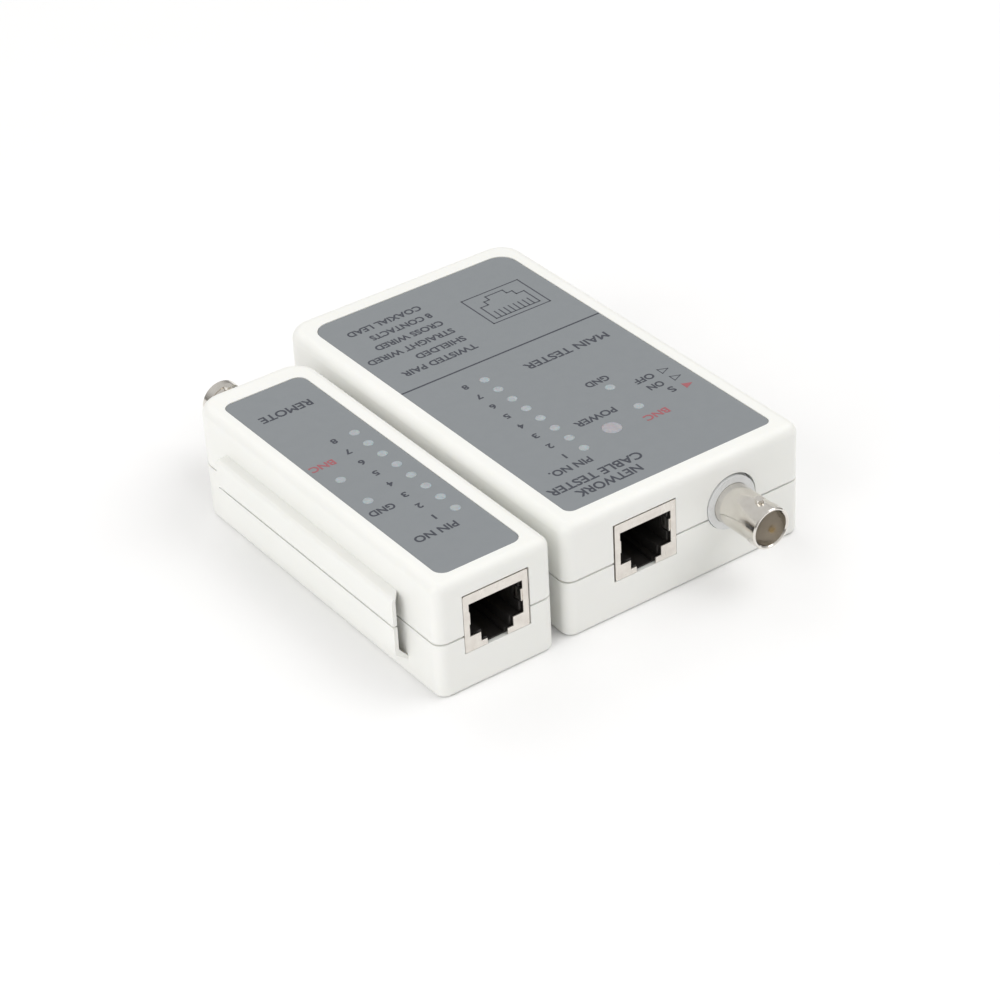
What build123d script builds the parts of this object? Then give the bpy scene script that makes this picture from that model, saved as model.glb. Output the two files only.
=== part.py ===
"""Two-piece network cable tester: a main unit and a remote unit, side by side.

Millimetres.  X runs across both units, Y from the jack end to the far end, Z up.
The origin is the centre of the main unit's underside, which stands on the table.
"""
import os
from collections import namedtuple

from build123d import *

os.makedirs("parts", exist_ok=True)

# ---------------------------------------------------------------- driving dimensions
CASE_H = 27.2
WALL = 2.0
FLOOR = 2.0
ROOF = 2.0
NEAR_CORNER_R = 2.5
FAR_CORNER_R = 6.0
TOP_EDGE_R = 2.3
BOTTOM_EDGE_R = 1.0
SEAM_GAP = 0.5
TONGUE_T = 0.95
TONGUE_H = 1.2
TONGUE_PLAY = 0.1
INNER_CORNER_R = 1.5
SCREW_PILOT_R = 1.5
SCREW_PILOT_DEPTH = 8.0

LABEL_T = 0.35
LABEL_DEPTH = 0.5
LABEL_PLAY = 0.1

BOARD_T = 1.6
BOARD_TOP = 8.9
PILLAR_R = 3.8
PILLAR_BORE_R = 1.6
SCREW_HEAD_R = 2.6
SCREW_HEAD_LOW = 4.0
SCREW_CROSS = (3.0, 0.7)
SCREW_SHANK_R = 1.4
SCREW_GRIP = 6.5
SCREW_HEAD_RECESS_R = 2.8
SCREW_SHELF = 6.0
BOSS_R = 3.0
POST_R = 2.1
POST_BORE_R = 1.05
BOARD_SCREW_R = 1.0
BOARD_SCREW_HEAD_R = 1.9
BOARD_SCREW_HEAD_H = 1.3
BOARD_SCREW_CROSS = (1.8, 0.45)
FIT_GAP = 0.05

JACK_W = 15.8
JACK_H = 13.6
JACK_D = 18.0
JACK_GAP_WIDE = 0.4
JACK_GAP_NARROW = 0.1
JACK_GAP_TOP = 0.3
PLUG_W = 11.9
PLUG_LOW = 3.6
PLUG_HIGH = 11.0
CONTACT_PITCH = 1.02
CONTACT_SLOT = 0.66
CONTACT_T = 0.4
PLUG_DEPTH = 12.6
JACK_SKIN = 0.3

BNC_AXIS_H = 6.6
BNC_R = 4.8
BNC_BORE_R = 4.05
BNC_REACH = 13.1
BNC_COLLAR_R = 6.2
BNC_GAP = 0.35
BNC_NECK_R = 4.6
BNC_NOSE = 2.75
BNC_ROOT = 6.0
BNC_FACE = 6.5
BNC_CONTACT = 7.0
BNC_CONTACT_R = 0.7
BNC_CONTACT_CLEAR_R = 0.95
BNC_TAIL = 11.0
BNC_BODY = 14.5
BNC_LUG_R = 0.95
BNC_LUG_SPAN = 11.1
BNC_LUG_BACK = 3.9

LED_R = 1.5
LED_HOLE_R = 1.7
POWER_LED_R = 2.5
POWER_LED_HOLE_R = 2.7
LED_TIP = 26.6
LEAD_PITCH = 2.54
LEAD_SPAN_SMALL = 1.9
LEAD_T = 0.5
LEAD_HOLE_R = 0.45
LEAD_STICK = 1.0
PIN_SPAN = 7.62

SWITCH_STEP = 3.9
SWITCH_H = 3.9
KNOB_L = 4.2
KNOB_H = 3.4
KNOB_OUT = 1.6

DOOR_HALF_W = 25.5
DOOR_FRONT = 20.0
DOOR_T = 1.9
DOOR_END_H = 6.0
DOOR_PLAY = 0.2
DOOR_GROOVE_LOW = 1.05
DOOR_GROOVE_H = 1.1
DOOR_GROOVE_DEPTH = 1.3
DOOR_TONGUE_H = 0.65
DOOR_TONGUE_REACH = 1.1
DOOR_RIDGES = 5

RAIL_OUT = 2.9
RAIL_SKIN = 0.9
RAIL_ROOT = 0.6
RAIL_LOW = 6.4
RAIL_LOW_ROOT = 3.6
RAIL_LOW_SKIN = 1.4
RAIL_HIGH = 19.8
RAIL_LEAD_IN = 2.4

# A unit's box, its seam height, and where its label, jack, coax socket, LEDs, screws and posts
# are, in X and Y from the middle of its footprint.  A label's size is its width, its length, its
# corner radius at the jack end and the one at the far end.  jack_gap_side is the side of the
# jack, -1 for -X, where its opening is wider.
Unit = namedtuple("Unit", "x y width length seam label label_at jack_x bnc_x bnc_rear "
                          "pin_leds status_leds screws posts board board_y jack_gap_side")

main = Unit(
    x=0.0, y=0.0, width=62.0, length=105.0, seam=13.5,
    label=(53.4, 95.3, 1.9, 4.2), label_at=(-0.05, -0.6), jack_x=-10.6, bnc_x=11.9,
    bnc_rear=False,
    pin_leds=[(-9.5, -30.8 + 5.05 * i) for i in range(8)],
    status_leds=[(9.3, -15.35), (9.3, -25.25)],
    screws=[(-25.8, -47.2), (25.8, -47.2), (-25.8, 8.4), (25.8, 8.4)],
    posts=[(-25.0, -34.0), (-25.2, -3.0), (24.5, -2.0), (24.5, -37.0)],
    board=(56.4, 61.6), board_y=-19.4, jack_gap_side=-1)

remote = Unit(
    x=-48.7, y=-7.25, width=28.6, length=91.5, seam=13.1,
    label=(20.3, 81.5, 2.4, 2.4), label_at=(-0.45, -1.55), jack_x=0.0, bnc_x=0.0,
    bnc_rear=True,
    pin_leds=[(5.75, -24.6 + 5.27 * i) for i in range(8)],
    status_leds=[(-6.5, -11.1), (-6.5, -1.0)],
    screws=[(0.0, -18.5), (0.0, 24.0)],
    posts=[(-9.0, -20.5), (9.2, 20.5)],
    board=(22.8, 84.8), board_y=-0.9, jack_gap_side=1)

POWER_LED = (-0.3, -28.4)
SWITCH_Y = -20.7
SWITCH_X = main.width / 2 - WALL - 0.3
SWITCH_Z = BOARD_TOP + SWITCH_H - 0.3

BATTERY = (46.4, 26.5, 17.4)
BATTERY_X = -2.1
BATTERY_Y = 35.6
BATTERY_Z = 3.7
STUD_OFFSET = 6.35
STUD_REACH = 2.2

RAIL_FRONT = -34.4
RAIL_REAR = 32.3


# ---------------------------------------------------------------- shared helpers
def level(unit, z, x=0.0, y=0.0):
    """A horizontal plane over the point x, y of a unit's footprint."""
    return Plane((unit.x + x, unit.y + y, z))


def rounded_ends(width, length, near_radius, far_radius):
    """A rectangle with one corner radius at the jack end and another at the far end."""
    with BuildSketch(mode=Mode.PRIVATE) as outline:
        Rectangle(width, length)
        fillet(outline.vertices().group_by(Axis.Y)[0], near_radius)
        fillet(outline.vertices().sort_by(Axis.Y)[-2:], far_radius)
    return outline.sketch


def case_outline(unit, inset=0.0):
    """A unit's outline from above, moved in from its outside by this much."""
    near = max(NEAR_CORNER_R - inset, INNER_CORNER_R)
    return rounded_ends(unit.width - 2 * inset, unit.length - 2 * inset, near,
                        FAR_CORNER_R - inset)


def facing(unit, x, y, z, rear=False):
    """An upright plane that looks out of a unit's front, or out of its rear."""
    origin = (unit.x + x, unit.y + y, z)
    if rear:
        return Plane(origin=origin, x_dir=(-1, 0, 0), z_dir=(0, 1, 0))
    return Plane(origin=origin, x_dir=(1, 0, 0), z_dir=(0, -1, 0))


def save(piece, name):
    piece.part.label = name
    export_step(piece.part, f"parts/{name}.step")


def bnc_plane(unit, depth=0.0):
    """The plane across the coax socket's axis, this far inside the end wall's face."""
    sign = 1 if unit.bnc_rear else -1
    end = sign * unit.length / 2
    return facing(unit, unit.bnc_x, end - sign * depth, BOARD_TOP + BNC_AXIS_H, unit.bnc_rear)


def cut_end_openings(unit):
    """The jack's rectangular opening and the coax socket's round one.

    Both are wider than what comes through them, and the connectors sit off their middles.
    """
    off_x = unit.jack_gap_side * (JACK_GAP_WIDE - JACK_GAP_NARROW) / 2
    off_z = (JACK_GAP_TOP - JACK_GAP_NARROW) / 2
    middle = BOARD_TOP + JACK_H / 2 + off_z
    with BuildSketch(facing(unit, unit.jack_x + off_x, -unit.length / 2, middle)) as jack_hole:
        Rectangle(JACK_W + JACK_GAP_WIDE + JACK_GAP_NARROW,
                  JACK_H + JACK_GAP_TOP + JACK_GAP_NARROW)
    extrude(jack_hole.sketch, amount=-WALL * 1.2, mode=Mode.SUBTRACT)
    with BuildSketch(bnc_plane(unit)) as coax_hole:
        with Locations((BNC_GAP / 2, BNC_GAP / 2)):
            Circle(BNC_COLLAR_R + BNC_GAP)
    extrude(coax_hole.sketch, amount=-WALL * 1.2, mode=Mode.SUBTRACT)


def cut_switch_slot():
    """The slot in the main unit's right wall that the switch knob moves in."""
    slot = Plane(origin=(main.width / 2, SWITCH_Y, SWITCH_Z), x_dir=(0, 1, 0), z_dir=(1, 0, 0))
    with BuildSketch(slot) as opening:
        RectangleRounded(KNOB_L + 2 * SWITCH_STEP + 0.8, KNOB_H + 0.8, 0.6)
    extrude(opening.sketch, amount=-WALL * 1.2, mode=Mode.SUBTRACT)


def rail_points():
    """X of the side pocket's outer face, its inner face, the case wall and the pocket's root."""
    wall_x = -remote.width / 2
    outer = wall_x - RAIL_OUT
    return outer, outer + RAIL_SKIN, wall_x, wall_x + RAIL_ROOT


def rail_profile(upper):
    """Half of the side pocket's wall, above or below the seam, seen along Y."""
    outer, inner, wall_x, root = rail_points()
    with BuildSketch(mode=Mode.PRIVATE) as profile:
        with BuildLine():
            if upper:
                seam = remote.seam + SEAM_GAP / 2
                ceiling = RAIL_HIGH - RAIL_SKIN
                Line((outer, seam), (outer, ceiling))
                TangentArc((outer, ceiling), (inner, RAIL_HIGH), tangent=(0, 1))
                Polyline((inner, RAIL_HIGH), (root, RAIL_HIGH), (root, ceiling),
                         (inner, ceiling), (inner, seam), (outer, seam))
            else:
                seam = remote.seam - SEAM_GAP / 2
                wall_floor = RAIL_LOW_ROOT + RAIL_LOW_SKIN
                Polyline((outer, seam), (outer, RAIL_LOW), (root, RAIL_LOW_ROOT),
                         (root, wall_floor), (wall_x, wall_floor),
                         (inner, RAIL_LOW + RAIL_SKIN), (inner, seam), close=True)
        make_face()
    return profile.sketch


def add_rail(upper):
    """Half of the remote's side pocket: a hollow lip, open at the front, closed at the rear."""
    outer, inner, wall_x, root = rail_points()
    seam = remote.seam + SEAM_GAP / 2 if upper else remote.seam - SEAM_GAP / 2
    end_outer = RAIL_HIGH - RAIL_SKIN if upper else RAIL_LOW
    end_root = RAIL_HIGH - RAIL_SKIN if upper else RAIL_LOW_ROOT
    with BuildSketch(facing(remote, 0, RAIL_FRONT, 0)) as profile:
        add(rail_profile(upper))
    extrude(profile.sketch, amount=-(RAIL_REAR - RAIL_FRONT))
    with BuildSketch(facing(remote, 0, RAIL_REAR, 0)) as rear_end:
        with BuildLine():
            Polyline((outer, seam), (outer, end_outer), (root, end_root), (root, seam),
                     close=True)
        make_face()
    extrude(rear_end.sketch, amount=WALL)
    if upper:
        # the top web is cut away at a slant at the mouth
        with BuildSketch(level(remote, RAIL_HIGH - 2 * RAIL_SKIN)) as lead_in:
            with BuildLine():
                Polyline((wall_x, RAIL_FRONT), (inner, RAIL_FRONT),
                         (wall_x, RAIL_FRONT + RAIL_LEAD_IN), close=True)
            make_face()
        extrude(lead_in.sketch, amount=3 * RAIL_SKIN, mode=Mode.SUBTRACT)


def build_top_shell(unit, name):
    """Upper half of a case: roof with a label recess and LED holes, walls and screw bosses."""
    low = unit.seam + SEAM_GAP / 2
    rebate = unit.seam + SEAM_GAP / 2 + TONGUE_H - 0.1
    with BuildPart() as shell:
        with BuildSketch(level(unit, low)):
            add(case_outline(unit))
        extrude(amount=CASE_H - low)
        fillet(shell.edges().group_by(Axis.Z)[-1], TOP_EDGE_R)
        if unit is remote:
            add_rail(True)
        with BuildSketch(level(unit, low)):
            add(case_outline(unit, WALL))
        extrude(amount=CASE_H - ROOF - low, mode=Mode.SUBTRACT)
        with BuildSketch(level(unit, low)):
            add(case_outline(unit, WALL - TONGUE_T - TONGUE_PLAY))
        extrude(amount=rebate - low, mode=Mode.SUBTRACT)
        with BuildSketch(level(unit, unit.seam)):
            with Locations(*unit.screws):
                Circle(BOSS_R)
        extrude(amount=CASE_H - ROOF - unit.seam)
        with BuildSketch(level(unit, unit.seam)):
            with Locations(*unit.screws):
                Circle(SCREW_PILOT_R)
        extrude(amount=SCREW_PILOT_DEPTH, mode=Mode.SUBTRACT)
        with BuildSketch(level(unit, CASE_H, *unit.label_at)):
            add(label_outline(unit, LABEL_PLAY))
        extrude(amount=-LABEL_DEPTH, mode=Mode.SUBTRACT)
        with BuildSketch(level(unit, CASE_H)):
            with Locations(*unit.pin_leds, *unit.status_leds):
                Circle(LED_HOLE_R)
            if unit is main:
                with Locations(POWER_LED):
                    Circle(POWER_LED_HOLE_R)
        extrude(amount=-ROOF * 2, mode=Mode.SUBTRACT)
        cut_end_openings(unit)
        if unit is main:
            cut_switch_slot()
    save(shell, name)


def build_bottom_shell(unit, name):
    """Lower half of a case: floor, walls, seam tongue, screw pillars and board posts."""
    high = unit.seam - SEAM_GAP / 2
    with BuildPart() as shell:
        with BuildSketch(level(unit, 0)):
            add(case_outline(unit))
        extrude(amount=high)
        fillet(shell.edges().group_by(Axis.Z)[0], BOTTOM_EDGE_R)
        if unit is remote:
            add_rail(False)
        with BuildSketch(level(unit, high)):
            add(case_outline(unit, WALL - TONGUE_T))
        extrude(amount=TONGUE_H)
        with BuildSketch(level(unit, FLOOR)):
            add(case_outline(unit, WALL))
        extrude(amount=high, mode=Mode.SUBTRACT)
        with BuildSketch(level(unit, FLOOR)):
            with Locations(*unit.screws):
                Circle(PILLAR_R)
        extrude(amount=unit.seam - FLOOR)
        with BuildSketch(level(unit, FLOOR)):
            with Locations(*unit.posts):
                Circle(POST_R)
        extrude(amount=BOARD_TOP - BOARD_T - FLOOR)
        with BuildSketch(level(unit, 0)):
            with Locations(*unit.screws):
                Circle(SCREW_HEAD_RECESS_R)
        extrude(amount=SCREW_SHELF, mode=Mode.SUBTRACT)
        with BuildSketch(level(unit, 0)):
            with Locations(*unit.screws):
                Circle(PILLAR_BORE_R)
        extrude(amount=unit.seam, mode=Mode.SUBTRACT)
        with BuildSketch(level(unit, FLOOR)):
            with Locations(*unit.posts):
                Circle(POST_BORE_R)
        extrude(amount=BOARD_TOP, mode=Mode.SUBTRACT)
        cut_end_openings(unit)
        if unit is main:
            cut_switch_slot()
            add_battery_bay()
    save(shell, name)


def add_battery_bay():
    """Partition, ledges and the grooved opening that the battery door slides in."""
    rear = main.length / 2
    opening = rear - DOOR_FRONT
    middle = (rear + DOOR_FRONT) / 2
    ledge_top = BATTERY_Z - 0.2
    with BuildSketch(level(main, FLOOR, y=DOOR_FRONT - 0.8)) as partition:
        Rectangle(main.width - 2 * WALL, 1.2)
    extrude(partition.sketch, amount=4.0)
    with BuildSketch(level(main, FLOOR, y=middle - WALL / 2)) as ledges:
        with GridLocations(2 * DOOR_HALF_W + 1.8, 1, 2, 1):
            Rectangle(2.6, opening - WALL)
    extrude(ledges.sketch, amount=ledge_top - FLOOR)
    with BuildSketch(level(main, 0, y=middle)) as door_opening:
        Rectangle(2 * DOOR_HALF_W, opening)
    extrude(door_opening.sketch, amount=ledge_top, mode=Mode.SUBTRACT)
    with BuildSketch(level(main, 0, y=rear - WALL / 2)) as end_opening:
        Rectangle(2 * DOOR_HALF_W, WALL)
    extrude(end_opening.sketch, amount=DOOR_END_H + DOOR_PLAY, mode=Mode.SUBTRACT)
    with BuildSketch(level(main, DOOR_GROOVE_LOW, y=middle)) as grooves:
        Rectangle(2 * (DOOR_HALF_W + DOOR_GROOVE_DEPTH), opening)
    extrude(grooves.sketch, amount=DOOR_GROOVE_H, mode=Mode.SUBTRACT)


# ---------------------------------------------------------------- parts on both units
def label_outline(unit, play=0.0):
    width, length, near_radius, far_radius = unit.label
    return rounded_ends(width + 2 * play, length + 2 * play, near_radius + play,
                        far_radius + play)


def build_label(unit, name):
    with BuildPart() as label:
        with BuildSketch(level(unit, CASE_H - LABEL_DEPTH, *unit.label_at)):
            add(label_outline(unit))
        extrude(amount=LABEL_T)
    save(label, name)


def build_board(unit, name, extra_holes):
    """Circuit board with screw holes, cut-outs round the pillars, and lead holes."""
    pillar_clear = PILLAR_R + 0.4
    with BuildPart() as board:
        with BuildSketch(level(unit, BOARD_TOP - BOARD_T)):
            with Locations((0, unit.board_y)):
                Rectangle(*unit.board)
            with Locations(*unit.screws):
                Circle(pillar_clear, mode=Mode.SUBTRACT)
            with Locations(*unit.posts):
                Circle(BOARD_SCREW_R + 0.25, mode=Mode.SUBTRACT)
            for x, y in unit.pin_leds + unit.status_leds:
                with Locations((x, y)):
                    with GridLocations(LEAD_SPAN_SMALL, 1, 2, 1):
                        Circle(LEAD_HOLE_R, mode=Mode.SUBTRACT)
            with Locations(*contact_tails(unit)):
                Circle(0.42, mode=Mode.SUBTRACT)
            for x, y, radius in extra_holes:
                with Locations((x, y)):
                    Circle(radius, mode=Mode.SUBTRACT)
        extrude(amount=BOARD_T)
    save(board, name)


def contact_tails(unit):
    """Where the jack's eight tails pass through the board, in two staggered rows."""
    front = -unit.length / 2
    return [(unit.jack_x + (i - 3.5) * CONTACT_PITCH, front + 14.6 + 2.0 * (i % 2))
            for i in range(8)]


def jack_window():
    """Outline of the jack's front window: plug opening with the stepped latch notch below."""
    return [(-6.55, 11.35), (6.55, 11.35), (6.55, 3.55), (3.95, 3.55), (3.95, 1.4),
            (2.5, 1.4), (2.5, -1.0), (-2.5, -1.0), (-2.5, 1.4), (-3.95, 1.4),
            (-3.95, 3.55), (-6.55, 3.55)]


def build_jack(unit, prefix):
    """Shielded eight-contact modular jack with its latch notch on the board side."""
    front = -unit.length / 2
    skin = JACK_SKIN
    half_w = JACK_W / 2
    sheet_top = BOARD_TOP + JACK_H
    with BuildPart() as shield:
        with BuildSketch(level(unit, BOARD_TOP, unit.jack_x, front + JACK_D / 2)):
            Rectangle(JACK_W, JACK_D)
        extrude(amount=JACK_H)
        fillet(shield.edges().filter_by(Axis.Y), 0.4)
        with BuildSketch(level(unit, BOARD_TOP, unit.jack_x, front + JACK_D / 2)):
            Rectangle(JACK_W - 2 * skin, JACK_D - 2 * skin)
        extrude(amount=JACK_H - skin, mode=Mode.SUBTRACT)
        with BuildSketch(facing(unit, unit.jack_x, front, BOARD_TOP)):
            with BuildLine():
                Polyline(*jack_window(), close=True)
            make_face()
        extrude(amount=-skin, mode=Mode.SUBTRACT)
        # ground springs folded in from the side walls
        for side in (-1, 1):
            with BuildSketch(level(unit, BOARD_TOP + 6.3, unit.jack_x, front)):
                with BuildLine():
                    Polyline((side * (half_w - skin), 0.2), (side * 6.2, 0.2), (side * 6.05, 2.4),
                             (side * 6.25, 2.4), (side * 6.45, 0.5),
                             (side * (half_w - skin), 0.5), close=True)
                make_face()
            extrude(amount=2.9)
    save(shield, prefix + "_jack_shield")

    with BuildPart() as insert:
        body_w = JACK_W - 2 * skin - 0.2
        with BuildSketch(level(unit, BOARD_TOP + 0.1, unit.jack_x, front + JACK_D / 2 + 0.2)):
            Rectangle(body_w, JACK_D - 2 * skin - 0.6)
        extrude(amount=JACK_H - skin - 0.3)
        # plug cavity and latch keyway
        mouth = facing(unit, unit.jack_x, front, BOARD_TOP)
        with BuildSketch(mouth):
            with Locations((0, (PLUG_LOW + PLUG_HIGH) / 2)):
                Rectangle(PLUG_W, PLUG_HIGH - PLUG_LOW)
            with Locations((0, 2.5)):
                Rectangle(6.8, 2.4)
            with Locations((0, 1.3)):
                Rectangle(4.2, 1.8)
        extrude(amount=-PLUG_DEPTH, mode=Mode.SUBTRACT)
        # relief for the ground springs
        for side in (-1, 1):
            with BuildSketch(level(unit, BOARD_TOP + 6.0, unit.jack_x, front + 1.5)):
                with Locations((side * (half_w - 1.2), 0)):
                    Rectangle(2.2, 2.6)
            extrude(amount=3.5, mode=Mode.SUBTRACT)
        # slots for the contact wires
        for tail_x, tail_y in contact_tails(unit):
            with BuildSketch(level(unit, BOARD_TOP + PLUG_HIGH - 0.3, tail_x, front)):
                with Locations((0, 1.2 + (tail_y - front) / 2)):
                    Rectangle(CONTACT_SLOT, tail_y - front - 1.0)
            extrude(amount=1.35, mode=Mode.SUBTRACT)
            with BuildSketch(level(unit, BOARD_TOP, tail_x, tail_y)):
                Rectangle(CONTACT_SLOT, CONTACT_SLOT)
            extrude(amount=PLUG_HIGH + 1.0, mode=Mode.SUBTRACT)
    save(insert, prefix + "_jack_insert")

    with BuildPart() as contacts:
        for tail_x, tail_y in contact_tails(unit):
            depth = tail_y - front
            with BuildSketch(Plane(origin=(unit.x + tail_x - CONTACT_T / 2, unit.y + front,
                                           BOARD_TOP),
                                   x_dir=(0, 1, 0), z_dir=(1, 0, 0))):
                with BuildLine():
                    Polyline((9.6, 8.95), (2.2, 10.9), (2.2, 11.75), (depth + 0.15, 11.75),
                             (depth + 0.15, -3.0), (depth - 0.15, -3.0), (depth - 0.15, 11.4),
                             (2.6, 11.4), (2.6, 11.15), (9.8, 9.25), close=True)
                make_face()
            extrude(amount=CONTACT_T)
    save(contacts, prefix + "_jack_contacts")


def build_bnc(unit, prefix):
    """Right-angle coax socket: moulded body, bayonet barrel, insulator and centre socket."""
    axis_up = BNC_AXIS_H
    inside = WALL + 0.15
    with BuildPart() as housing:
        with BuildSketch(bnc_plane(unit, inside)):
            with Locations((0, 0.2)):
                Rectangle(BNC_BODY, 2 * axis_up - 0.4)
        extrude(amount=-(BNC_BODY - 1.5))
        fillet(housing.edges().filter_by(Axis.Y), 0.6)
        with BuildSketch(bnc_plane(unit, inside)):
            Circle(BNC_COLLAR_R)
        extrude(amount=inside + 0.4)
        with BuildSketch(bnc_plane(unit, -1.0)):
            Circle(BNC_NECK_R + FIT_GAP)
        extrude(amount=-(1.0 + BNC_ROOT + FIT_GAP), mode=Mode.SUBTRACT)
        with BuildSketch(bnc_plane(unit, 0)):
            Circle(BNC_CONTACT_CLEAR_R)
        extrude(amount=-(BNC_TAIL + 1.0), mode=Mode.SUBTRACT)
        sign = -1 if unit.bnc_rear else 1
        tail_y = sign * (BNC_TAIL - unit.length / 2)
        with BuildSketch(level(unit, BOARD_TOP, unit.bnc_x, tail_y)):
            Circle(BNC_CONTACT_CLEAR_R)
        extrude(amount=axis_up, mode=Mode.SUBTRACT)
    save(housing, prefix + "_bnc_housing")

    with BuildPart() as barrel:
        with BuildSketch(bnc_plane(unit, BNC_ROOT)):
            Circle(BNC_NECK_R)
        extrude(amount=BNC_ROOT + BNC_REACH)
        with BuildSketch(bnc_plane(unit, -BNC_REACH)):
            Circle(BNC_R)
        extrude(amount=-BNC_NOSE)
        lug_face = bnc_plane(unit, BNC_LUG_BACK - BNC_REACH)
        for direction in (-1, 1):
            lug = Plane(origin=lug_face.origin, x_dir=(1, 0, 0), z_dir=(0, 0, direction))
            with BuildSketch(lug):
                Circle(BNC_LUG_R)
            extrude(amount=BNC_LUG_SPAN / 2)
        with BuildSketch(bnc_plane(unit, -BNC_REACH)):
            Circle(BNC_BORE_R)
        extrude(amount=-(BNC_REACH + BNC_ROOT), mode=Mode.SUBTRACT)
        mouth_edges = barrel.edges().filter_by(GeomType.CIRCLE).sort_by(Axis.Y)
        mouth_edges = mouth_edges[-2:] if unit.bnc_rear else mouth_edges[:2]
        chamfer(mouth_edges, 0.25)
    save(barrel, prefix + "_bnc_barrel")

    with BuildPart() as insulator:
        with BuildSketch(bnc_plane(unit, BNC_ROOT)):
            Circle(BNC_BORE_R - FIT_GAP)
            Circle(BNC_CONTACT_R + FIT_GAP, mode=Mode.SUBTRACT)
        extrude(amount=BNC_ROOT + BNC_FACE)
    save(insulator, prefix + "_bnc_insulator")

    with BuildPart() as socket:
        with BuildSketch(bnc_plane(unit, BNC_TAIL + 0.5)):
            Circle(BNC_CONTACT_R)
        extrude(amount=BNC_TAIL + 0.5 + BNC_CONTACT)
        with BuildSketch(bnc_plane(unit, -BNC_CONTACT)):
            Circle(0.4)
        extrude(amount=-6.0, mode=Mode.SUBTRACT)
        with BuildSketch(level(unit, BOARD_TOP - 3.2, unit.bnc_x, tail_y)):
            Rectangle(0.8, 0.8)
        extrude(amount=3.2 + axis_up)
    save(socket, prefix + "_bnc_socket")


def add_led(unit, x, y, radius):
    """One domed LED on two square leads."""
    small = radius < 2
    height = 5.3 if small else 8.0
    rim = LED_TIP - height
    lead_end = BOARD_TOP - BOARD_T - 1.4
    with BuildSketch(level(unit, rim, x, y)) as body:
        Circle(radius)
    extrude(body.sketch, amount=height - radius)
    with BuildSketch(level(unit, rim, x, y)) as flange:
        Circle(radius + 0.12)
    extrude(flange.sketch, amount=1.0)
    with BuildSketch(facing(unit, x, y, LED_TIP - radius)) as dome:
        with BuildLine():
            Line((0, 0), (radius, 0))
            CenterArc((0, 0), radius, 0, 90)
            Line((0, radius), (0, 0))
        make_face()
    revolve(dome.sketch, axis=Axis((unit.x + x, unit.y + y, 0), (0, 0, 1)))
    with BuildSketch(level(unit, lead_end, x, y)) as leads:
        with GridLocations(LEAD_SPAN_SMALL if small else LEAD_PITCH, 1, 2, 1):
            Rectangle(LEAD_T, LEAD_T)
    extrude(leads.sketch, amount=rim - lead_end + 0.5)


def build_leds(unit, spots, radius, name):
    with BuildPart() as leds:
        for x, y in spots:
            add_led(unit, x, y, radius)
    save(leds, name)


def cut_cross(unit, spots, face, size, depth):
    """A screwdriver cross in each head, from its face inwards; a negative depth goes down."""
    length, width = size
    with BuildSketch(level(unit, face)) as cross:
        with Locations(*spots):
            Rectangle(length, width)
            Rectangle(width, length)
    extrude(cross.sketch, amount=depth, mode=Mode.SUBTRACT)


def build_case_screws(unit, name):
    """Cross-head screws from below, through the pillars into the bosses."""
    with BuildPart() as screws:
        with BuildSketch(level(unit, SCREW_HEAD_LOW)):
            with Locations(*unit.screws):
                Circle(SCREW_HEAD_R)
        extrude(amount=SCREW_SHELF - SCREW_HEAD_LOW)
        with BuildSketch(level(unit, SCREW_SHELF)):
            with Locations(*unit.screws):
                Circle(SCREW_SHANK_R)
        extrude(amount=unit.seam + SCREW_GRIP - SCREW_SHELF)
        cut_cross(unit, unit.screws, SCREW_HEAD_LOW, SCREW_CROSS, 1.0)
    save(screws, name)


def build_board_screws(unit, name):
    """Pan-head screws that hold the board down on its posts."""
    shank_end = FLOOR + 0.8
    with BuildPart() as screws:
        with BuildSketch(level(unit, BOARD_TOP)):
            with Locations(*unit.posts):
                Circle(BOARD_SCREW_HEAD_R)
        extrude(amount=BOARD_SCREW_HEAD_H)
        fillet(screws.edges().group_by(Axis.Z)[-1], 0.6)
        with BuildSketch(level(unit, shank_end)):
            with Locations(*unit.posts):
                Circle(BOARD_SCREW_R)
        extrude(amount=BOARD_TOP - shank_end)
        cut_cross(unit, unit.posts, BOARD_TOP + BOARD_SCREW_HEAD_H, BOARD_SCREW_CROSS, -0.6)
    save(screws, name)


def build_axial_parts(unit, spots, radius, body_length, span, name):
    """Resistors or diodes lying along X, with bent leads through the board."""
    lie = BOARD_TOP + radius + 0.3
    with BuildPart() as parts:
        for x, y in spots:
            end = Plane(origin=(unit.x + x - body_length / 2, unit.y + y, lie),
                        x_dir=(0, 1, 0), z_dir=(1, 0, 0))
            with BuildSketch(end):
                Circle(radius)
            extrude(amount=body_length)
            lead = Plane(origin=(unit.x + x - (span + LEAD_T) / 2, unit.y + y, lie),
                         x_dir=(0, 1, 0), z_dir=(1, 0, 0))
            with BuildSketch(lead):
                Rectangle(LEAD_T, LEAD_T)
            extrude(amount=span + LEAD_T)
            with BuildSketch(level(unit, BOARD_TOP - BOARD_T - LEAD_STICK, x, y)):
                with GridLocations(span, 1, 2, 1):
                    Rectangle(LEAD_T, LEAD_T)
            extrude(amount=lie - (BOARD_TOP - BOARD_T - LEAD_STICK))
    save(parts, name)


def axial_holes(spots, span):
    return [(x + side * span / 2, y, LEAD_HOLE_R) for x, y in spots for side in (-1, 1)]


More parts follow.
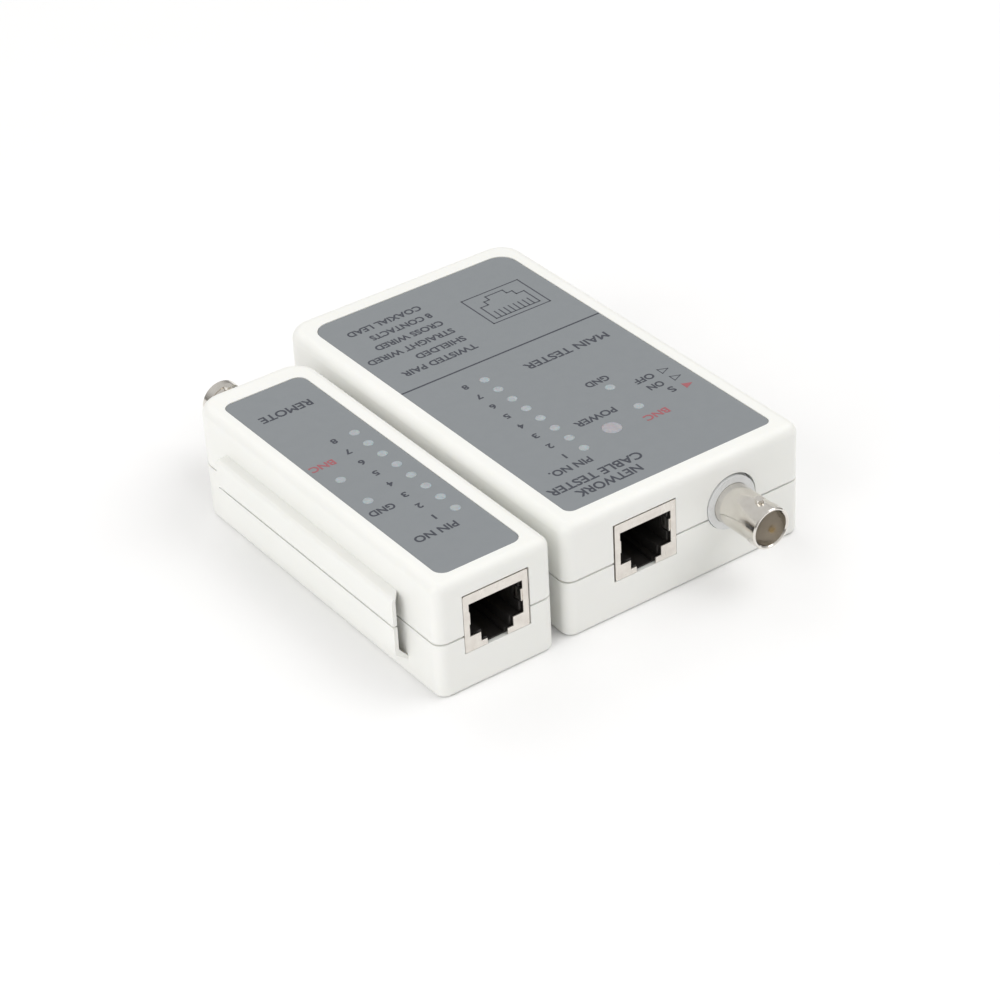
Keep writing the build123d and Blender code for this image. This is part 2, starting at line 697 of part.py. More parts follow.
def build_chip(unit, x, y, pins_per_side, name):
    """Dual in-line chip lying along Y, with a notch at its first pin's end."""
    length = pins_per_side * LEAD_PITCH - 0.4
    with BuildPart() as chip:
        with BuildSketch(level(unit, BOARD_TOP + 0.5, x, y)):
            Rectangle(6.4, length)
        extrude(amount=3.3)
        chamfer(chip.edges().group_by(Axis.Z)[-1], 0.35)
        with BuildSketch(level(unit, BOARD_TOP + 3.8, x, y - length / 2)):
            Circle(0.9)
        extrude(amount=-0.5, mode=Mode.SUBTRACT)
        with BuildSketch(level(unit, BOARD_TOP + 1.7, x, y)):
            with GridLocations(1, LEAD_PITCH, 1, pins_per_side):
                Rectangle(8.0, 1.2)
        extrude(amount=0.3)
        with BuildSketch(level(unit, BOARD_TOP - BOARD_T - LEAD_STICK, x, y)):
            with GridLocations(PIN_SPAN, LEAD_PITCH, 2, pins_per_side):
                Rectangle(0.38, 0.5)
        extrude(amount=3.0 + BOARD_T)
    save(chip, name)


def chip_holes(x, y, pins_per_side):
    middle = (pins_per_side - 1) / 2
    return [(x + side * PIN_SPAN / 2, y + (i - middle) * LEAD_PITCH, LEAD_HOLE_R)
            for i in range(pins_per_side) for side in (-1, 1)]


# ---------------------------------------------------------------- main unit
COUNTER_CHIP = (-0.6, -12.0, 8)
TIMER_CHIP = (16.0, -3.0, 4)
MAIN_DIODES = [(-18.4, -27.6 + 4.0 * i) for i in range(8)]
MAIN_RESISTORS = [(4.0, 3.0), (4.0, 6.0), (4.0, 9.0)]
DIODE_SPAN = 7.6
RESISTOR_SPAN = 7.6
CAPACITOR = (16.4, -31.0)
LEAD_PADS = [(14.0, 9.2), (18.0, 9.2)]
POWER_LEADS = axial_holes([POWER_LED], LEAD_PITCH)
SWITCH_PIN_PITCH = 2.5
SWITCH_PIN_X = SWITCH_X - 3.0
SWITCH_PINS = [(SWITCH_PIN_X, SWITCH_Y + SWITCH_PIN_PITCH * (i - 1.5), 0.6) for i in range(4)]
CAPACITOR_SPAN = 2.5
CAPACITOR_PINS = axial_holes([CAPACITOR], CAPACITOR_SPAN)

main_holes = (axial_holes(MAIN_DIODES, DIODE_SPAN) + axial_holes(MAIN_RESISTORS, RESISTOR_SPAN)
              + chip_holes(*COUNTER_CHIP) + chip_holes(*TIMER_CHIP) + POWER_LEADS
              + SWITCH_PINS + CAPACITOR_PINS + [(x, y, 0.8) for x, y in LEAD_PADS]
              + [(main.bnc_x, -main.length / 2 + BNC_TAIL, 0.65)])

build_top_shell(main, "main_top_shell")
build_bottom_shell(main, "main_bottom_shell")
build_label(main, "main_label")
build_board(main, "main_board", main_holes)
build_jack(main, "main")
build_bnc(main, "main")
build_leds(main, main.pin_leds, LED_R, "main_pin_leds")
build_leds(main, main.status_leds, LED_R, "main_status_leds")
build_leds(main, [POWER_LED], POWER_LED_R, "main_power_led")
build_chip(main, *COUNTER_CHIP, "main_counter_chip")
build_chip(main, *TIMER_CHIP, "main_timer_chip")
build_axial_parts(main, MAIN_DIODES, 0.95, 3.6, DIODE_SPAN, "main_diodes")
build_axial_parts(main, MAIN_RESISTORS, 0.9, 3.8, RESISTOR_SPAN, "main_resistors")
build_case_screws(main, "main_case_screws")
build_board_screws(main, "main_board_screws")

with BuildPart() as capacitor:
    with BuildSketch(level(main, BOARD_TOP + 0.2, *CAPACITOR)):
        Circle(2.5)
    extrude(amount=7.0)
    fillet(capacitor.edges().group_by(Axis.Z)[-1], 0.4)
    with BuildSketch(level(main, BOARD_TOP - BOARD_T - LEAD_STICK, *CAPACITOR)):
        with GridLocations(CAPACITOR_SPAN, 1, 2, 1):
            Rectangle(LEAD_T, LEAD_T)
    extrude(amount=BOARD_T + LEAD_STICK + 0.4)
save(capacitor, "main_capacitor")

# Three-position slide switch, lying on the board with its knob through the right wall.
SWITCH_LENGTH = 18.0
SWITCH_DEPTH = 5.6
SWITCH_BODY_H = 7.0
with BuildPart() as switch_frame:
    with BuildSketch(level(main, BOARD_TOP, SWITCH_X - SWITCH_DEPTH / 2, SWITCH_Y)):
        Rectangle(SWITCH_DEPTH, SWITCH_LENGTH)
    extrude(amount=SWITCH_BODY_H)
    frame_face = Plane(origin=(SWITCH_X, SWITCH_Y, SWITCH_Z), x_dir=(0, 1, 0), z_dir=(1, 0, 0))
    with BuildSketch(frame_face):
        Rectangle(KNOB_L + 2 * SWITCH_STEP + 0.6, KNOB_H + 0.4)
    extrude(amount=-3.4, mode=Mode.SUBTRACT)
    with BuildSketch(level(main, BOARD_TOP - BOARD_T - 1.2, SWITCH_PIN_X, SWITCH_Y)):
        with GridLocations(1, SWITCH_PIN_PITCH, 1, 4):
            Rectangle(0.5, 0.8)
    extrude(amount=BOARD_T + 1.4)
save(switch_frame, "power_switch_frame")

with BuildPart() as switch_knob:
    knob_y = SWITCH_Y + SWITCH_STEP
    knob_reach = main.width / 2 + KNOB_OUT
    knob_root = SWITCH_X - 3.1
    with BuildSketch(level(main, SWITCH_Z - KNOB_H / 2, (knob_root + knob_reach) / 2, knob_y)):
        Rectangle(knob_reach - knob_root, KNOB_L)
    extrude(amount=KNOB_H)
    tip = switch_knob.faces().sort_by(Axis.X)[-1]
    fillet(tip.edges(), 0.4)
    for step in (-1, 0, 1):
        groove = Plane(origin=(knob_reach, knob_y + step * 1.1, SWITCH_Z),
                       x_dir=(0, 1, 0), z_dir=(1, 0, 0))
        with BuildSketch(groove):
            Rectangle(0.45, KNOB_H)
        extrude(amount=-0.45, mode=Mode.SUBTRACT)
save(switch_knob, "power_switch_knob")

# Nine-volt battery across the rear of the case, its studs to the right.
battery_end = BATTERY_X + BATTERY[0] / 2
battery_middle = BATTERY_Z + BATTERY[2] / 2
battery_face = Plane(origin=(battery_end, BATTERY_Y, battery_middle),
                     x_dir=(0, 1, 0), z_dir=(1, 0, 0))

with BuildPart() as battery:
    with BuildSketch(Plane((BATTERY_X, BATTERY_Y, BATTERY_Z))):
        Rectangle(BATTERY[0], BATTERY[1])
    extrude(amount=BATTERY[2])
    fillet(battery.edges().filter_by(Axis.X), 1.6)
    chamfer(battery.edges().group_by(Axis.X)[-1], 0.3)
save(battery, "battery")

with BuildPart() as terminals:
    with BuildSketch(battery_face):
        with Locations((-STUD_OFFSET, 0)):
            Circle(2.8)
        with Locations((STUD_OFFSET, 0)):
            RegularPolygon(3.9, 6)
    extrude(amount=STUD_REACH)
save(terminals, "battery_terminals")

with BuildPart() as snap_contacts:
    with BuildSketch(battery_face.offset(0.3)):
        with Locations((-STUD_OFFSET, 0)):
            Circle(3.6)
            Circle(2.85, mode=Mode.SUBTRACT)
    extrude(amount=STUD_REACH)
    with BuildSketch(battery_face.offset(0.3)):
        with Locations((STUD_OFFSET, 0)):
            Circle(4.6)
            Circle(3.95, mode=Mode.SUBTRACT)
    extrude(amount=STUD_REACH)
    with BuildSketch(battery_face.offset(STUD_REACH + 0.1)):
        with Locations((-STUD_OFFSET, 0)):
            Circle(3.6)
        with Locations((STUD_OFFSET, 0)):
            Circle(4.6)
    extrude(amount=0.5)
save(snap_contacts, "battery_snap_contacts")

SNAP_T = 2.6
with BuildPart() as snap:
    with BuildSketch(battery_face.offset(STUD_REACH + 0.6)):
        SlotOverall(25.0, 12.0)
    extrude(amount=SNAP_T)
    fillet(snap.edges().group_by(Axis.X)[-1], 0.8)
save(snap, "battery_snap")

LEAD_R = 0.6
snap_x = battery_end + STUD_REACH + 0.6 + SNAP_T / 2
snap_front = BATTERY_Y - 12.5
for colour, (pad_x, pad_y), height, inset in (("black", LEAD_PADS[0], 16.8, 3.4),
                                              ("red", LEAD_PADS[1], 14.6, 1.8)):
    with BuildPart() as lead:
        with BuildLine() as route:
            FilletPolyline((snap_x, snap_front + inset, height), (snap_x, pad_y + 3.4, height),
                           (pad_x, pad_y, height), (pad_x, pad_y, BOARD_TOP - BOARD_T),
                           radius=1.6)
        with BuildSketch(Plane(origin=route.wire() @ 0, z_dir=route.wire() % 0)):
            Circle(LEAD_R)
        sweep()
    save(lead, "battery_lead_" + colour)

# Battery door: a plate with side tongues in the shell's grooves, and its own end wall.
with BuildPart() as door:
    rear = main.length / 2
    plate_length = rear - DOOR_FRONT - DOOR_PLAY
    plate_middle = rear - plate_length / 2
    with BuildSketch(level(main, 0, y=plate_middle)):
        Rectangle(2 * (DOOR_HALF_W - DOOR_PLAY), plate_length)
    extrude(amount=DOOR_T)
    with BuildSketch(level(main, DOOR_GROOVE_LOW + DOOR_PLAY, y=plate_middle - WALL / 2 - 0.1)):
        Rectangle(2 * (DOOR_HALF_W + DOOR_TONGUE_REACH), plate_length - WALL - 0.2)
    extrude(amount=DOOR_TONGUE_H)
    with BuildSketch(level(main, 0, y=rear - (WALL - 0.2) / 2)):
        Rectangle(2 * (DOOR_HALF_W - DOOR_PLAY), WALL - 0.2)
    extrude(amount=DOOR_END_H)
    fillet(door.edges().filter_by(Axis.X).sort_by(lambda e: e.center().Y - e.center().Z)[-1],
           BOTTOM_EDGE_R)
    # ribs that hold the battery up, and finger grooves outside
    with BuildSketch(level(main, DOOR_T, y=BATTERY_Y)):
        with GridLocations(24.0, 1, 2, 1):
            Rectangle(1.6, BATTERY[1] - 2.0)
    extrude(amount=BATTERY_Z - DOOR_PLAY - DOOR_T)
    for i in range(DOOR_RIDGES):
        with BuildSketch(level(main, 0, y=rear - 6.0 - 1.8 * i)):
            SlotOverall(16.0 - 2.4 * i, 0.9)
        extrude(amount=0.5, mode=Mode.SUBTRACT)
save(door, "battery_door")

# ---------------------------------------------------------------- remote unit
REMOTE_RESISTORS = [(-6.2, 3.6 + 3.0 * i) for i in range(4)]
REMOTE_DIODES = [(-6.2, 15.6 + 2.6 * i) for i in range(2)]
REMOTE_SPAN = 6.4
remote_holes = (axial_holes(REMOTE_RESISTORS, REMOTE_SPAN)
                + axial_holes(REMOTE_DIODES, REMOTE_SPAN)
                + [(remote.bnc_x, remote.length / 2 - BNC_TAIL, 0.65)])

build_top_shell(remote, "remote_top_shell")
build_bottom_shell(remote, "remote_bottom_shell")
build_label(remote, "remote_label")
build_board(remote, "remote_board", remote_holes)
build_jack(remote, "remote")
build_bnc(remote, "remote")
build_leds(remote, remote.pin_leds, LED_R, "remote_pin_leds")
build_leds(remote, remote.status_leds, LED_R, "remote_status_leds")
build_axial_parts(remote, REMOTE_RESISTORS, 0.9, 3.8, REMOTE_SPAN, "remote_resistors")
build_axial_parts(remote, REMOTE_DIODES, 0.95, 3.6, REMOTE_SPAN, "remote_diodes")
build_case_screws(remote, "remote_case_screws")
build_board_screws(remote, "remote_board_screws")
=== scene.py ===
"""Looks of a two-piece network cable tester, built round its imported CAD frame.

Metres, in the CAD's frame: X across both units, Y from the jack end to the far end, Z up.
"""
import math

import bmesh
import bpy
from mathutils import Matrix, Vector


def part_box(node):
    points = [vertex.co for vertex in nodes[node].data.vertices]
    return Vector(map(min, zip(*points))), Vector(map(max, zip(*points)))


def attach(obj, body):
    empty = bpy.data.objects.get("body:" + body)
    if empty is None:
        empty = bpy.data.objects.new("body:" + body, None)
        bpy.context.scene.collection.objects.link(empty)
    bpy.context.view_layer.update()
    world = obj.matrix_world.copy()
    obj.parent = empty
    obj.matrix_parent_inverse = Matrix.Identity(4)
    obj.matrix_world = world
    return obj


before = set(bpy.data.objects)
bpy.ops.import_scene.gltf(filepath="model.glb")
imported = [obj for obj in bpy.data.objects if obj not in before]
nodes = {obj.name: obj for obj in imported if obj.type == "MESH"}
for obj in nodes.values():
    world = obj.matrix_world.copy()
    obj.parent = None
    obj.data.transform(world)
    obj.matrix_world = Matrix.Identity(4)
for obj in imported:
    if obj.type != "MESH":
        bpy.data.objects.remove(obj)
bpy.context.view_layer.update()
MM = 0.001


# ---------------------------------------------------------------- shader helpers
def principled(name, colour, roughness, metallic=0.0, **sockets):
    """A new material with one Principled shader, and that shader."""
    material = bpy.data.materials.new(name)
    material.use_nodes = True
    shader = material.node_tree.nodes["Principled BSDF"]
    shader.inputs["Base Color"].default_value = (*colour, 1.0)
    shader.inputs["Roughness"].default_value = roughness
    shader.inputs["Metallic"].default_value = metallic
    for socket, value in sockets.items():
        shader.inputs[socket.replace("_", " ")].default_value = value
    return material, shader


def add_node(owner, kind, **values):
    """A new shader node of a material or world, with these input values."""
    node = owner.node_tree.nodes.new("ShaderNode" + kind)
    for socket, value in values.items():
        node.inputs[socket.replace("_", " ")].default_value = value
    return node


def link(owner, output, socket):
    owner.node_tree.links.new(output, socket)


def object_place(material, stretch=(1.0, 1.0, 1.0)):
    """Object coordinates in metres, multiplied by stretch along each axis."""
    coordinates = add_node(material, "TexCoord")
    mapping = add_node(material, "Mapping", Scale=stretch)
    link(material, coordinates.outputs["Object"], mapping.inputs["Vector"])
    return mapping.outputs["Vector"]


def noise(material, grain, detail=3.0, stretch=(1.0, 1.0, 1.0)):
    """Noise whose features are about grain metres across."""
    texture = add_node(material, "TexNoise", Scale=1.0 / grain, Detail=detail, Roughness=0.55)
    link(material, object_place(material, stretch), texture.inputs["Vector"])
    return texture.outputs["Fac"]


def ramp(material, source, low, high, start=0.35, end=0.65):
    """source remapped from start..end, by default the middle of noise, to low..high."""
    node = add_node(material, "MapRange")
    node.inputs["From Min"].default_value = start
    node.inputs["From Max"].default_value = end
    node.inputs["To Min"].default_value = low
    node.inputs["To Max"].default_value = high
    link(material, source, node.inputs["Value"])
    return node.outputs["Result"]


def mix_colours(material, factor, first, second):
    """Colour output that goes from first to second as the factor output rises."""
    node = add_node(material, "Mix")
    node.data_type = "RGBA"
    link(material, factor, node.inputs["Factor"])
    for name, colour in (("A", first), ("B", second)):
        target = [s for s in node.inputs if s.name == name and s.type == "RGBA"][0]
        target.default_value = (*colour, 1.0)
    return [s for s in node.outputs if s.type == "RGBA"][0]


def bump(material, shader, height, distance, strength):
    """Relief from the height output, distance metres deep."""
    node = add_node(material, "Bump", Strength=strength, Distance=distance)
    link(material, height, node.inputs["Height"])
    link(material, node.outputs["Normal"], shader.inputs["Normal"])


def tint(material, shader, colour, other, grain, detail=3.0):
    """Base colour that drifts between two close colours."""
    factor = ramp(material, noise(material, grain, detail), low=0.0, high=1.0)
    link(material, mix_colours(material, factor, colour, other), shader.inputs["Base Color"])


def vary_roughness(material, shader, low, high, grain, stretch=(1.0, 1.0, 1.0)):
    """Roughness that drifts between low and high."""
    value = ramp(material, noise(material, grain, detail=4.0, stretch=stretch), low, high)
    link(material, value, shader.inputs["Roughness"])


# ---------------------------------------------------------------- materials
def case_plastic():
    """Off-white ABS with a spark-eroded satin skin."""
    material, shader = principled("case_plastic", (0.86, 0.86, 0.83), roughness=0.42,
                                  Subsurface_Weight=0.08, Subsurface_Scale=1.2 * MM)
    shader.inputs["Subsurface Radius"].default_value = (1.0, 0.9, 0.7)
    tint(material, shader, (0.875, 0.875, 0.845), (0.855, 0.86, 0.825), grain=28 * MM)
    vary_roughness(material, shader, low=0.36, high=0.47, grain=9 * MM)
    skin = noise(material, grain=0.22 * MM, detail=2.0)
    bump(material, shader, skin, distance=0.012 * MM, strength=0.6)
    return material


def label_film():
    """Grey overlay film with a fine velvet face."""
    material, shader = principled("label_film", (0.225, 0.242, 0.255), roughness=0.45)
    tint(material, shader, (0.222, 0.239, 0.252), (0.228, 0.245, 0.258), grain=3.0 * MM,
         detail=6.0)
    vary_roughness(material, shader, low=0.42, high=0.48, grain=5 * MM)
    velvet = noise(material, grain=0.12 * MM, detail=2.0)
    bump(material, shader, velvet, distance=0.004 * MM, strength=0.6)
    return material


def ink(name, colour, other):
    """Screen-printed ink, slightly uneven."""
    material, shader = principled(name, colour, roughness=0.5)
    tint(material, shader, colour, other, grain=0.25 * MM, detail=2.0)
    screen_marks = noise(material, grain=0.08 * MM)
    bump(material, shader, screen_marks, distance=0.003 * MM, strength=0.5)
    return material


def frosted_window(name, colour, other):
    """Unprinted, frosted spot in the film, slightly uneven."""
    material, shader = principled(name, colour, roughness=0.38, Coat_Weight=0.2,
                                  Subsurface_Weight=0.3, Subsurface_Scale=0.6 * MM)
    tint(material, shader, colour, other, grain=0.9 * MM, detail=4.0)
    frost = noise(material, grain=0.1 * MM)
    bump(material, shader, frost, distance=0.004 * MM, strength=0.5)
    return material


def tinned_steel():
    """Satin tin plate with fine rolling lines."""
    material, shader = principled("tinned_steel", (0.78, 0.74, 0.69), roughness=0.34,
                                  metallic=1.0)
    tint(material, shader, (0.80, 0.765, 0.715), (0.73, 0.69, 0.64), grain=2.2 * MM, detail=5.0)
    vary_roughness(material, shader, low=0.26, high=0.42, grain=0.5 * MM,
                   stretch=(1.0, 1.0, 0.08))
    rolling = noise(material, grain=0.15 * MM, detail=3.0, stretch=(1.0, 1.0, 0.06))
    bump(material, shader, rolling, distance=0.004 * MM, strength=0.5)
    return material


def nickel_plate():
    """Bright nickel over turned brass."""
    material, shader = principled("nickel_plate", (0.77, 0.745, 0.70), roughness=0.18,
                                  metallic=1.0)
    tint(material, shader, (0.79, 0.765, 0.72), (0.73, 0.70, 0.65), grain=3.0 * MM, detail=4.0)
    vary_roughness(material, shader, low=0.13, high=0.23, grain=1.2 * MM)
    turning = noise(material, grain=0.12 * MM, detail=2.0, stretch=(0.3, 3.0, 0.3))
    bump(material, shader, turning, distance=0.0015 * MM, strength=0.5)
    return material


def moulded(name, colour, other, rough=(0.4, 0.55), grain=0.2 * MM):
    """A plain moulding with a fine skin."""
    material, shader = principled(name, colour, roughness=sum(rough) / 2)
    tint(material, shader, colour, other, grain=4 * MM)
    vary_roughness(material, shader, *rough, grain=3 * MM)
    skin = noise(material, grain, detail=2.0)
    bump(material, shader, skin, distance=0.008 * MM, strength=0.6)
    return material


def plated(name, colour, other):
    """Plated metal with soft handling marks."""
    material, shader = principled(name, colour, roughness=0.275, metallic=1.0)
    tint(material, shader, colour, other, grain=1.5 * MM, detail=4.0)
    vary_roughness(material, shader, low=0.2, high=0.35, grain=0.8 * MM)
    marks = noise(material, grain=0.2 * MM)
    bump(material, shader, marks, distance=0.003 * MM, strength=0.4)
    return material


def led_resin(name, colour, other):
    """Milky epoxy of an unlit LED."""
    material, shader = principled(name, colour, roughness=0.2, Subsurface_Weight=0.5,
                                  Subsurface_Scale=1.0 * MM, Coat_Weight=0.4)
    tint(material, shader, colour, other, grain=1.0 * MM)
    vary_roughness(material, shader, low=0.15, high=0.28, grain=0.8 * MM)
    return material


def banded(name, body, bands, pitch):
    """Lacquer with narrow colour bands across X."""
    material, shader = principled(name, body, roughness=0.3, Coat_Weight=0.3)
    wave = add_node(material, "TexWave", Scale=1.0 / pitch, Distortion=0.0)
    wave.wave_type = "BANDS"
    wave.bands_direction = "X"
    link(material, object_place(material), wave.inputs["Vector"])
    factor = ramp(material, wave.outputs["Fac"], low=0.0, high=1.0, start=0.80, end=0.86)
    link(material, mix_colours(material, factor, body, bands), shader.inputs["Base Color"])
    lacquer = noise(material, grain=0.3 * MM)
    bump(material, shader, lacquer, distance=0.006 * MM, strength=0.5)
    return material


def solder_mask():
    """Green board with a grid of paler lines, like tracks under the mask."""
    material, shader = principled("solder_mask", (0.02, 0.16, 0.06), roughness=0.3,
                                  Coat_Weight=0.5)
    tracks = add_node(material, "TexBrick", Scale=1.0, Mortar_Size=0.12 * MM,
                      Mortar_Smooth=0.1, Brick_Width=5.08 * MM, Row_Height=1.27 * MM,
                      Color1=(0.02, 0.15, 0.05, 1.0), Color2=(0.018, 0.13, 0.045, 1.0),
                      Mortar=(0.05, 0.28, 0.10, 1.0))
    link(material, object_place(material), tracks.inputs["Vector"])
    link(material, tracks.outputs["Color"], shader.inputs["Base Color"])
    vary_roughness(material, shader, low=0.22, high=0.38, grain=2 * MM)
    bump(material, shader, tracks.outputs["Fac"], distance=0.02 * MM, strength=0.5)
    return material


def battery_jacket():
    """Dark lacquered jacket with a lighter band at the stud end, which is the +X end."""
    dark, light = (0.03, 0.035, 0.05), (0.62, 0.46, 0.20)
    band_width, band_blur = 10 * MM, 0.1 * MM
    material, shader = principled("battery_jacket", dark, roughness=0.28, metallic=0.3,
                                  Coat_Weight=0.5)
    band_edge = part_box("battery")[1].x - band_width
    coordinates = add_node(material, "TexCoord")
    split = add_node(material, "SeparateXYZ")
    link(material, coordinates.outputs["Object"], split.inputs["Vector"])
    factor = ramp(material, split.outputs["X"], low=0.0, high=1.0,
                  start=band_edge - band_blur, end=band_edge + band_blur)
    link(material, mix_colours(material, factor, dark, light), shader.inputs["Base Color"])
    vary_roughness(material, shader, low=0.22, high=0.36, grain=4 * MM)
    wrap = noise(material, grain=1.5 * MM)
    bump(material, shader, wrap, distance=0.01 * MM, strength=0.4)
    return material


def floor_sheet():
    """Matt white paper."""
    material, shader = principled("floor_sheet", (0.93, 0.93, 0.93), roughness=0.9)
    tint(material, shader, (0.935, 0.935, 0.935), (0.925, 0.925, 0.925), grain=60 * MM)
    return material


case = case_plastic()
film = label_film()
dark_ink = ink("dark_ink", (0.042, 0.047, 0.062), (0.056, 0.060, 0.076))
red_ink = ink("red_ink", (0.37, 0.10, 0.115), (0.33, 0.11, 0.125))
clear_window = frosted_window("clear_window", (0.43, 0.435, 0.455), (0.375, 0.38, 0.40))
pink_window = frosted_window("pink_window", (0.43, 0.39, 0.42), (0.39, 0.34, 0.37))
tin = tinned_steel()
nickel = nickel_plate()
black = moulded("black_moulding", (0.012, 0.011, 0.010), (0.018, 0.016, 0.015))
ivory = moulded("ivory_moulding", (0.75, 0.76, 0.76), (0.70, 0.71, 0.71), rough=(0.25, 0.35))
dielectric = moulded("dielectric", (0.80, 0.74, 0.66), (0.74, 0.68, 0.60))
gold = plated("gold_contact", (0.80, 0.60, 0.27), (0.74, 0.54, 0.24))
zinc = plated("zinc_plate", (0.60, 0.60, 0.58), (0.52, 0.52, 0.50))
board = solder_mask()
package = moulded("chip_package", (0.02, 0.02, 0.022), (0.03, 0.03, 0.032))
resistor = banded("resistor", (0.60, 0.42, 0.22), (0.16, 0.05, 0.02), pitch=2.0 * MM)
diode = banded("diode", (0.55, 0.12, 0.03), (0.02, 0.02, 0.02), pitch=7.0 * MM)
sleeve = moulded("capacitor_sleeve", (0.02, 0.025, 0.07), (0.03, 0.035, 0.09),
                 rough=(0.25, 0.35))
vinyl = moulded("snap_vinyl", (0.02, 0.02, 0.02), (0.035, 0.035, 0.035), rough=(0.35, 0.5),
                grain=0.4 * MM)
red_wire = moulded("red_wire", (0.50, 0.02, 0.02), (0.42, 0.02, 0.02), rough=(0.3, 0.4))
black_wire = moulded("black_wire", (0.015, 0.015, 0.015), (0.03, 0.03, 0.03), rough=(0.3, 0.4))
resin = led_resin("led_resin", (0.75, 0.77, 0.76), (0.68, 0.70, 0.69))
pink_resin = led_resin("pink_resin", (0.75, 0.55, 0.58), (0.68, 0.48, 0.52))

# names are without main_ and remote_, because both units have the same kinds of node
NODE_MATERIALS = {
    "top_shell": case, "bottom_shell": case, "battery_door": case, "label": film,
    "jack_shield": tin, "jack_insert": black, "jack_contacts": gold, "bnc_barrel": nickel,
    "bnc_housing": ivory, "bnc_insulator": dielectric, "bnc_socket": gold, "board": board,
    "board_screws": zinc, "case_screws": zinc, "pin_leds": resin, "status_leds": resin,
    "power_led": pink_resin, "resistors": resistor, "diodes": diode, "counter_chip": package,
    "timer_chip": package, "capacitor": sleeve, "power_switch_frame": zinc,
    "power_switch_knob": black, "battery": battery_jacket(), "battery_terminals": zinc,
    "battery_snap_contacts": zinc, "battery_snap": vinyl, "battery_lead_red": red_wire,
    "battery_lead_black": black_wire,
}
# the nodes whose edges show, and how wide the softening is
EDGE_WIDTHS = {
    "top_shell": 0.12 * MM, "bottom_shell": 0.12 * MM, "battery_door": 0.12 * MM,
    "label": 0.05 * MM, "jack_shield": 0.06 * MM, "jack_insert": 0.05 * MM,
    "bnc_barrel": 0.05 * MM, "bnc_housing": 0.08 * MM, "bnc_insulator": 0.08 * MM,
    "power_switch_frame": 0.08 * MM, "power_switch_knob": 0.08 * MM, "case_screws": 0.05 * MM,
}
EDGE_ANGLE = math.radians(40)
EDGE_STEPS = 2


def dress_nodes():
    """Gives every CAD node its material, and softened edges where they show."""
    for name, node in nodes.items():
        key = name if name in NODE_MATERIALS else name.split("_", 1)[1]
        node.data.materials.clear()
        node.data.materials.append(NODE_MATERIALS[key])
        for face in node.data.polygons:
            face.material_index = 0
        if key in EDGE_WIDTHS:
            bevel = node.modifiers.new("edges", "BEVEL")
            bevel.width = EDGE_WIDTHS[key]
            bevel.segments = EDGE_STEPS
            bevel.limit_method = "ANGLE"
            bevel.angle_limit = EDGE_ANGLE
            bevel.harden_normals = True


# ---------------------------------------------------------------- printed legend
INK_T = 0.02 * MM
INK_LIFT = 0.004 * MM
COPY_RISE = 0.001 * MM

# sizes and places of what is printed, in mm
PINS = 8
STROKE_GROWTH = 0.062
STROKE_W = 0.3
ARROW_STROKE_W = 0.2
DIVIDER_W = 0.45
TITLE_H = 2.65
UNIT_NAME_H = 2.55
HEAD_H = 2.25
LIST_H = 2.2
MARK_H = 2.15
NUMERAL_H = 1.85
NUMERAL_W = 1.3
NUMERAL_1_W = 0.45
LIST_LETTER_W = 1.62


